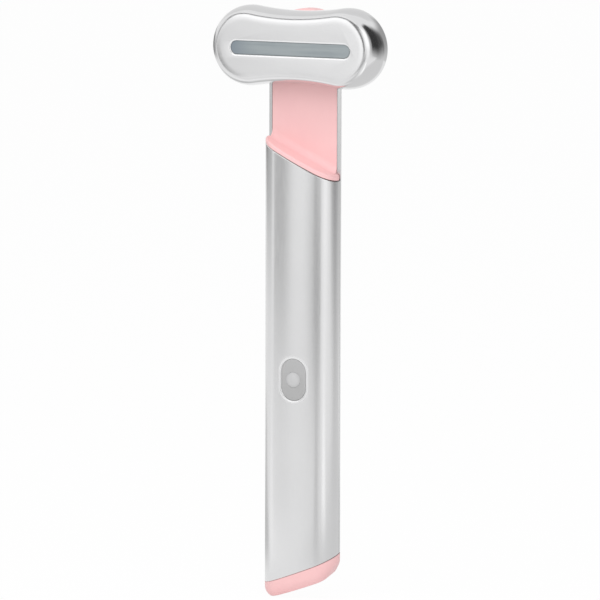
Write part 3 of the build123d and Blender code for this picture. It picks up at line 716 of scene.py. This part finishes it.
def startPoint(place):
    # one vertex to draw from, in a new piece or in the one being edited
    if bpy.context.mode != "EDIT_MESH":
        deselectAll()
        bpy.ops.mesh.primitive_plane_add(size=mm, location=place)
        bpy.ops.object.transform_apply(location=True, rotation=True, scale=True)
        bpy.ops.object.mode_set(mode="EDIT")
        bpy.ops.mesh.select_mode(type="VERT")
        chooseAll()
    else:
        bpy.ops.mesh.select_mode(type="VERT")
        bpy.ops.mesh.select_all(action="DESELECT")
        bpy.ops.mesh.primitive_plane_add(size=mm, location=place)
    bpy.ops.mesh.merge(type="CENTER")


def drawOutline(start, moves, square):
    # A closed line, drawn from a point by straight runs and by arcs. Arcs turn leftwards when the
    # direction square points at the viewer.
    startPoint(start)
    for move in moves:
        if len(move) == 1:
            extrude(move[0])
        else:
            centre, turned, steps = move
            bpy.ops.mesh.spin(steps=steps, angle=-math.radians(turned), center=centre, axis=square)
    weldAll()


def choose(kind, wanted):
    # picks the active mesh's faces, edges or vertices by a test of their place
    mesh = bpy.context.object.data
    bpy.ops.mesh.select_mode(type=kind)
    bpy.ops.mesh.select_all(action="DESELECT")
    bpy.ops.object.mode_set(mode="OBJECT")
    if kind == "EDGE":
        for edge in mesh.edges:
            edge.select = all(wanted(mesh.vertices[index].co) for index in edge.vertices)
    elif kind == "FACE":
        for face in mesh.polygons:
            face.select = wanted(face.center)
    else:
        for vertex in mesh.vertices:
            vertex.select = wanted(vertex.co)
    bpy.ops.object.mode_set(mode="EDIT")


def applyModifier(piece, kind, **settings):
    bpy.context.view_layer.objects.active = piece
    bpy.ops.object.modifier_add(type=kind)
    modifier = piece.modifiers[-1]
    for setting, value in settings.items():
        setattr(modifier, setting, value)
    bpy.ops.object.modifier_apply(modifier=modifier.name)


def faceOutwards():
    chooseAll()
    bpy.ops.mesh.normals_make_consistent(inside=False)


def bridgeBetween(depths):
    # skins the outlines that stand at these depths, each to the next
    for near, distant in zip(depths, depths[1:]):
        low, high = min(near, distant), max(near, distant)
        choose("EDGE", lambda spot: low - weld < spot.y < high + weld)
        bpy.ops.mesh.bridge_edge_loops()


def closeAt(depth):
    choose("EDGE", lambda spot: abs(spot.y - depth) < weld)
    bpy.ops.mesh.edge_face_add()


def closeBetween(depths):
    bridgeBetween(depths)
    closeAt(depths[0])
    closeAt(depths[-1])
    faceOutwards()


def leaveEditing(name):
    bpy.ops.object.mode_set(mode="OBJECT")
    piece = bpy.context.object
    piece.name = name
    piece.data.name = name
    return piece


def cutOut(piece, cutter, operation="DIFFERENCE"):
    applyModifier(piece, "BOOLEAN", operation=operation, object=cutter, solver="EXACT")
    deselectAll()
    cutter.select_set(True)
    bpy.ops.object.delete()
    bpy.context.view_layer.objects.active = piece
    piece.select_set(True)


def finishPiece(piece, body, node, slotName, angle=14):
    # smooth shading that stops at the edges' small bevels, and the piece's place in the frame
    deselectAll()
    piece.select_set(True)
    bpy.context.view_layer.objects.active = piece
    bpy.ops.object.shade_smooth_by_angle(angle=math.radians(angle))
    giveMaterial(piece, slotName)
    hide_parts(node)
    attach(piece, body)


# outlines

handleOval = {
    "width": 20.7 * mm,
    "depth": 11.7 * mm,
    "sideRadius": 5.5 * mm,
    "sideSteps": 44,
    "crownSteps": 26,
}


def ovalCentres():
    # how far the side arcs' centres lie from the axis, how much closer the sides are than the
    # crown, and the distance between the centres of a side arc and a crown arc
    look = handleOval
    reach = look["width"] / 2 - look["sideRadius"]
    rise = look["depth"] / 2 - look["sideRadius"]
    return reach, rise, (reach ** 2 + rise ** 2) / (2 * rise)


def crownRadius():
    return ovalCentres()[2] + handleOval["sideRadius"]


def drawOval(height):
    # the handle's section: two flat crown arcs joined by two tight side arcs
    look = handleOval
    reach, rise, stretch = ovalCentres()
    corner = look["sideRadius"]
    half = math.degrees(math.asin(reach / stretch))
    endX = reach + corner * reach / stretch
    endY = corner * (stretch - rise) / stretch
    crown = stretch - rise
    drawOutline((-endX, handleMiddle - endY, height), [
        ((0, handleMiddle + crown, height), 2 * half, look["crownSteps"]),
        ((reach, handleMiddle, height), 180 - 2 * half, look["sideSteps"]),
        ((0, handleMiddle - crown, height), 2 * half, look["crownSteps"]),
        ((-reach, handleMiddle, height), 180 - 2 * half, look["sideSteps"]),
    ], (0, 0, 1))


def drawStadium(width, height, depth, middle, steps):
    # a long hole or key seen from the front, upright or lying
    radius = min(width, height) / 2
    run = (max(width, height) - 2 * radius) / 2
    along = Vector((0, 0, run)) if height > width else Vector((-run, 0, 0))
    across = Vector((radius, 0, 0)) if height > width else Vector((0, 0, radius))
    centre = Vector((middle.x, depth, middle.z))
    drawOutline(centre + across - along, [
        (2 * along,),
        (centre + along, 180, steps),
        (-2 * along,),
        (centre - along, 180, steps),
    ], (0, -1, 0))


def quarterArc(front, width, drop, steps):
    # (outset, depth) along an edge that is rounded by a width and a drop
    angles = [math.pi / 2 * index / steps for index in range(steps + 1)]
    return [(width * (1 - math.sin(angle)), front + drop * (1 - math.cos(angle))) for angle in angles]


def roundedMouth(front, edge, depth, steps, flare=0):
    # the profile of a cutter that rounds the mouth of the hole it makes; flare is how much the
    # hole's wall opens inwards
    return [(edge[0], front - overrun), *quarterArc(front, *edge, steps), (flare, front + depth)]


def roundedFront(front, radius, back, steps):
    # the profile of a key or bar whose front edge is rounded
    return [*quarterArc(front, -radius, radius, steps), (0, back)]


def loftStadium(size, middle, profile, steps):
    # a closed body through long outlines, one for each step of a profile from front to back
    for outset, depth in profile:
        drawStadium(size[0] + 2 * outset, size[1] + 2 * outset, depth, middle, steps)
    closeBetween([depth for _, depth in profile])


def bendToCrown(piece, front):
    # bows a flat piece so that it follows the handle's front
    deselectAll()
    bpy.ops.object.empty_add(location=(0, front, 0))
    middle = bpy.context.object
    across = [corner[0] for corner in piece.bound_box]
    applyModifier(piece, "SIMPLE_DEFORM", deform_method="BEND", deform_axis="Z", origin=middle,
                  angle=(max(across) - min(across)) / crownRadius())
    bpy.data.objects.remove(middle)


# handle

handleTube = {
    "wall": 0.9 * mm,
    "lowerRim": 136.6 * mm,      # below the head's axis
    "lowerSlope": (0.392, 0.2),  # rise towards the right and towards the back
    "upperRim": 29.6 * mm,
    "upperSlope": (-0.475, 0.05),
    "tongueFront": 0.6 * mm,     # behind the handle's axis
    "tongueTurn": 0.05 * mm,     # how far the cut face's inner edge is moved back
    "tongueReach": 0.225 * mm,   # that edge's distance from the cut, at the most
    "rimBevel": 0.18 * mm,
    "mouth": (7.16 * mm, 10.98 * mm),
    "mouthEdge": (0.65 * mm, 0.3 * mm),
    "mouthMargin": 1.5 * mm,     # of smooth metal round the mouth that the cut may disturb
    "mouthDepth": 3 * mm,
    "mouthFlare": 0.3 * mm,      # how far its wall opens inwards, so that the key slides free
    "mouthSteps": 5,
    "mouthEndSteps": 30,
    "bevelSteps": 3,
    "archRadius": 10.6 * mm,     # of the tongue's rounded upper end
    "archSteps": 72,
    "spareAbove": 2 * mm,        # that the tube runs past the arch before it is cut
    "spareBelow": 10 * mm,       # and past the floor
}
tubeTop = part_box("handle_shell")[1].z
buttonMiddle = boxMiddle("power_button")


def rimHeight(spot, rim):
    # height of a slanted rim above or below a spot
    slope = handleTube[rim + "Slope"]
    return headAxis - handleTube[rim + "Rim"] + slope[0] * spot.x + slope[1] * (spot.y - handleMiddle)


def bisectAtRim(rim, **keep):
    slope = handleTube[rim + "Slope"]
    bpy.ops.mesh.bisect(plane_co=(0, handleMiddle, headAxis - handleTube[rim + "Rim"]),
                        plane_no=(-slope[0], -slope[1], 1), threshold=weld, **keep)


def makeHandleTube():
    look = handleTube
    tongue = handleMiddle + look["tongueFront"]
    front = handleMiddle - handleOval["depth"] / 2
    drawOval(-look["spareBelow"])
    extrude((0, 0, tubeTop + look["spareBelow"] + look["spareAbove"]))
    chooseAll()
    bisectAtRim("lower", clear_inner=True)
    chooseAll()
    bpy.ops.mesh.bisect(plane_co=(0, tongue, 0), plane_no=(0, 1, 0), threshold=weld)
    choose("FACE", lambda spot: spot.y < tongue)
    bisectAtRim("upper", clear_outer=True)
    for side in (-1, 1):
        chooseAll()
        level = buttonMiddle.z + side * (look["mouth"][1] / 2 + look["mouthMargin"])
        bpy.ops.mesh.bisect(plane_co=(0, 0, level), plane_no=(0, 0, 1), threshold=weld)
    faceOutwards()
    tube = leaveEditing("handleTube")
    applyModifier(tube, "SOLIDIFY", thickness=look["wall"], offset=-1, use_even_offset=True)

    def onRim(spot):
        outside = ovalReach(spot) > -close
        low = abs(spot.z - rimHeight(spot, "lower")) < close
        high = abs(spot.z - rimHeight(spot, "upper")) < close and spot.y < tongue + weld
        side = abs(spot.y - tongue) < weld and spot.z > rimHeight(spot, "upper") - close
        return outside and (low or high or side)

    def onTongue(spot):
        inside = ovalReach(spot) < -close
        above = spot.z > rimHeight(spot, "upper") - close
        return inside and above and abs(spot.y - tongue) < look["tongueReach"]

    bpy.ops.object.mode_set(mode="EDIT")
    choose("VERT", onTongue)
    bpy.ops.transform.translate(value=(0, look["tongueTurn"], 0))
    choose("EDGE", onRim)
    bpy.ops.mesh.bevel(offset=look["rimBevel"], segments=look["bevelSteps"], clamp_overlap=False)
    bpy.ops.object.mode_set(mode="OBJECT")

    # the arched cutter, from well in front of the handle to well behind it
    radius, middle = look["archRadius"], tubeTop - look["archRadius"]
    rise = middle + look["spareBelow"]
    drawOutline((radius, 2 * front, -look["spareBelow"]), [
        ((0, 0, rise),),
        ((0, 2 * front, middle), 180, look["archSteps"]),
        ((0, 0, -rise),),
        ((2 * radius, 0, 0),),
    ], (0, -1, 0))
    bpy.ops.mesh.edge_face_add()
    extrude((0, -4 * front, 0))
    faceOutwards()
    cutOut(tube, leaveEditing("archCutter"), "INTERSECT")

    mouth = roundedMouth(front, look["mouthEdge"], look["mouthDepth"], look["mouthSteps"],
                         look["mouthFlare"])
    loftStadium(look["mouth"], buttonMiddle, mouth, look["mouthEndSteps"])
    cutter = leaveEditing("mouthCutter")
    bendToCrown(cutter, front)
    cutOut(tube, cutter)
    finishPiece(tube, "handle", "handle_shell", "handle_metal")


def ovalReach(spot):
    # how far a spot lies outside the handle's surface
    x, y = abs(spot.x), abs(spot.y - handleMiddle)
    reach, rise, stretch = ovalCentres()
    crown = stretch - rise
    if x * crown < reach * (y + crown):
        return math.hypot(x, y + crown) - crownRadius()
    return math.hypot(x - reach, y) - handleOval["sideRadius"]


# head

headPod = {
    "length": 48.8 * mm,
    "lobeRadius": 10.5 * mm,
    "waistHalf": 9.4 * mm,
    "lobeSteps": 64,
    "waistSteps": 18,
    "tumble": 5,             # degrees that the flank has turned in by at the back seam
    "endBulge": 9.4 * mm,    # how round the flank is at the two ends
    "sideBulge": 14 * mm,    # and along the top and the bottom
    "flankSteps": 9,
    "edgeRadius": 2.2 * mm,
    "edgeSteps": 12,
    "crownRadius": 15 * mm,  # of the slow crown between the rounded edge and the flat face
    "crownSlope": 5,         # degrees, where the crown meets the edge
    "crownSteps": 5,
    "wall": 0.9 * mm,
    "slot": (34.2 * mm, 3.5 * mm),
    "flatRing": 0.3 * mm,    # of flat faces round the face, that keeps its shading flat
    "slotEdge": (0.42 * mm, 0.3 * mm),
    "slotDepth": 2 * mm,
    "slotSteps": 5,
    "slotEndSteps": 30,
    "smoothAngle": 8,        # degrees, past which an edge is shaded sharp
}


def drawPod(inset, depth, pull=0):
    # the head's waisted outline, seen from the front; pull draws the two ends in
    look = headPod
    lobe, waist = look["lobeRadius"] - inset, look["waistHalf"] - inset
    centre = look["length"] / 2 - look["lobeRadius"] - pull
    bow = (centre ** 2 + waist ** 2 - lobe ** 2) / (2 * (lobe - waist))
    endX = centre * bow / (bow + lobe)
    endZ = lobe * (waist + bow) / (bow + lobe)
    half = math.degrees(math.atan2(centre, waist + bow))
    drawOutline((endX, depth, headAxis - endZ), [
        ((centre, depth, headAxis), 180 + 2 * half, look["lobeSteps"]),
        ((0, depth, headAxis + waist + bow), -2 * half, look["waistSteps"]),
        ((-centre, depth, headAxis), 180 + 2 * half, look["lobeSteps"]),
        ((0, depth, headAxis - waist - bow), -2 * half, look["waistSteps"]),
    ], (0, -1, 0))


def flankProfile(bulge, thickness):
    # (distance in front of the back seam, inset) from the seam to the flat face: a slow arc, the
    # rounded edge and the face's crown
    look = headPod
    edge, crown = look["edgeRadius"], look["crownRadius"]
    start, slope = math.pi / 2 + math.radians(look["tumble"]), math.radians(look["crownSlope"])
    edgeReach = thickness - crown + (crown - edge) * math.cos(slope)
    turn = math.acos((edgeReach + bulge * math.cos(start)) / (bulge - edge))
    steps = []
    for index in range(look["flankSteps"]):
        angle = start + (turn - start) * index / look["flankSteps"]
        steps.append((bulge * (math.cos(angle) - math.cos(start)), bulge * (1 - math.sin(angle))))
    for index in range(look["edgeSteps"] + 1):
        angle = turn + (slope - turn) * index / look["edgeSteps"]
        steps.append((edgeReach + edge * math.cos(angle),
                      bulge - (bulge - edge) * math.sin(turn) - edge * math.sin(angle)))
    edgeEnd = steps[-1][1]
    for index in range(1, look["crownSteps"] + 1):
        angle = slope * (1 - index / look["crownSteps"])
        steps.append((thickness - crown + crown * math.cos(angle),
                      edgeEnd + crown * (math.sin(slope) - math.sin(angle))))
    return steps


def insetAt(profile, reach):
    # the profile's inset at a distance in front of the seam
    for (near, low), (distant, high) in zip(profile, profile[1:]):
        if reach <= distant:
            return low + (high - low) * (reach - near) / (distant - near)
    return profile[-1][1]


def makeHeadShell():
    look = headPod
    low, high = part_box("head_front_shell")
    front, back = low.y, high.y
    sides = flankProfile(look["sideBulge"], back - front)
    ends = flankProfile(look["endBulge"], back - front)
    for reach, inset in sides:
        drawPod(inset, back - reach, max(0, insetAt(ends, reach) - inset))
    bridgeBetween([back - reach for reach, _ in sides])
    closeAt(front)
    bpy.ops.mesh.inset(thickness=look["flatRing"])
    faceOutwards()
    shell = leaveEditing("headShell")
    applyModifier(shell, "SOLIDIFY", thickness=look["wall"], offset=-1, use_even_offset=True)

    slot = roundedMouth(front, look["slotEdge"], look["slotDepth"], look["slotSteps"])
    loftStadium(look["slot"], boxMiddle("light_window"), slot, look["slotEndSteps"])
    cutOut(shell, leaveEditing("slotCutter"))
    finishPiece(shell, "head", "head_front_shell", "head_metal", look["smoothAngle"])


backCover = {
    "edgeSteps": 12,
    "bore": 3.3 * mm,   # radius of the hole for the hub
    "boreCut": 4 * mm,  # length of its cutter
    "boreSteps": 48,
}


def makeBackCover():
    look = backCover
    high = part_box("head_back_cover")[1].y
    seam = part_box("head_front_shell")[1].y
    start = math.radians(headPod["tumble"])
    radius = (high - seam) / (1 - math.sin(start))
    seamInset = headPod["sideBulge"] * (1 - math.cos(start))
    endPull = headPod["endBulge"] * (1 - math.cos(start)) - seamInset
    depths = []
    for index in range(look["edgeSteps"] + 1):
        # the flank's line carried on round to the flat back in one arc
        angle = start + (math.pi / 2 - start) * index / look["edgeSteps"]
        depths.append(seam + radius * (math.sin(angle) - math.sin(start)))
        drawPod(seamInset + radius * (math.cos(start) - math.cos(angle)), depths[-1], max(0, endPull))
    closeBetween(depths)
    cover = leaveEditing("backCover")
    start = seam - overrun
    drawOutline((look["bore"], start, headAxis), [((0, start, headAxis), 360, look["boreSteps"])], (0, -1, 0))
    bpy.ops.mesh.edge_face_add()
    extrude((0, look["boreCut"], 0))
    faceOutwards()
    cutOut(cover, leaveEditing("boreCutter"))
    finishPiece(cover, "head", "head_back_cover", "head_metal")


lightWindow = {
    "gap": 0.1 * mm,  # by which it is smaller than its slot, both sides together
    "edge": 0.12 * mm,
    "edgeSteps": 3,
    "endSteps": 24,
}


def makeLightWindow():
    look = lightWindow
    low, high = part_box("light_window")
    size = [side - look["gap"] for side in headPod["slot"]]
    loftStadium(size, (low + high) / 2, roundedFront(low.y, look["edge"], high.y, look["edgeSteps"]),
                look["endSteps"])
    window = leaveEditing("lightWindow")
    finishPiece(window, "head", "light_window", "window_frosted")


# button

powerKey = {
    "size": (7.1 * mm, 10.92 * mm),
    "setback": 0.15 * mm,   # behind the handle's surface
    "thickness": 1.8 * mm,
    "edge": 0.2 * mm,
    "edgeSteps": 5,
    "endSteps": 30,
    "ringWidth": 0.7 * mm,  # rings of faces in its front, so that it can bend
    "ringCount": 4,
    "well": 2.03 * mm,      # radius of the lens's seat
    "wellDepth": 0.9 * mm,
    "wellEdge": (0.06 * mm, 0.06 * mm),
    "wellSteps": 4,
}


def makePowerKey():
    look = powerKey
    front = handleMiddle - handleOval["depth"] / 2 + look["setback"]
    loftStadium(look["size"], buttonMiddle,
                roundedFront(front, look["edge"], front + look["thickness"], look["edgeSteps"]),
                look["endSteps"])
    choose("FACE", lambda spot: spot.y < front + weld)
    for _ in range(look["ringCount"]):
        bpy.ops.mesh.inset(thickness=look["ringWidth"])
    key = leaveEditing("powerKey")
    bendToCrown(key, front)
    well = roundedMouth(front, look["wellEdge"], look["wellDepth"], look["wellSteps"])
    loftStadium((2 * look["well"], 2 * look["well"]), buttonMiddle, well, look["endSteps"])
    cutOut(key, leaveEditing("wellCutter"))
    finishPiece(key, "button", "power_button", "button_grey")


keyLens = {
    "radius": 2.0 * mm,
    "rise": 0.3 * mm,  # of the dome above its rim
    "rings": 10,
    "steps": 56,
}


def makeKeyLens():
    look = keyLens
    low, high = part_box("button_lens")
    ball = (look["radius"] ** 2 + look["rise"] ** 2) / (2 * look["rise"])
    half = math.degrees(math.asin(look["radius"] / ball))
    middle = buttonMiddle.z
    # half of the dome's outline, turned about the button's axis
    startPoint((0, low.y, middle))
    bpy.ops.mesh.spin(steps=look["rings"], angle=-math.radians(half), center=(0, low.y + ball, middle),
                      axis=(0, 0, 1))
    extrude((0, high.y - low.y - look["rise"], 0))
    chooseAll()
    bpy.ops.mesh.spin(steps=look["steps"], angle=math.tau, center=(0, low.y, middle), axis=(0, 1, 0))
    weldAll()
    choose("EDGE", lambda spot: spot.y > high.y - close)
    bpy.ops.mesh.edge_face_add()
    faceOutwards()
    lens = leaveEditing("keyLens")
    finishPiece(lens, "button", "button_lens", "lens_white")


makeCamera()
print("camera placed")
makeMaterials()
print("finishes mixed")
makeFloor()
makeWorld()
for name, spot in softboxes.items():
    makeSoftbox(name, spot)
for name, spot in screens.items():
    makeScreen(name, spot)
for index, (name, spot) in enumerate(strips.items()):
    makeStrip(name, spot, (index + 1) * stripSpacing)
for name, spot in canopies.items():
    makeCanopy(name, spot)
print("studio lit")
makeHandleTube()
print("handle modelled")
makeHeadShell()
makeBackCover()
makeLightWindow()
print("head modelled")
makePowerKey()
makeKeyLens()
print("button modelled")

bpy.context.scene.view_settings.view_transform = "Standard"
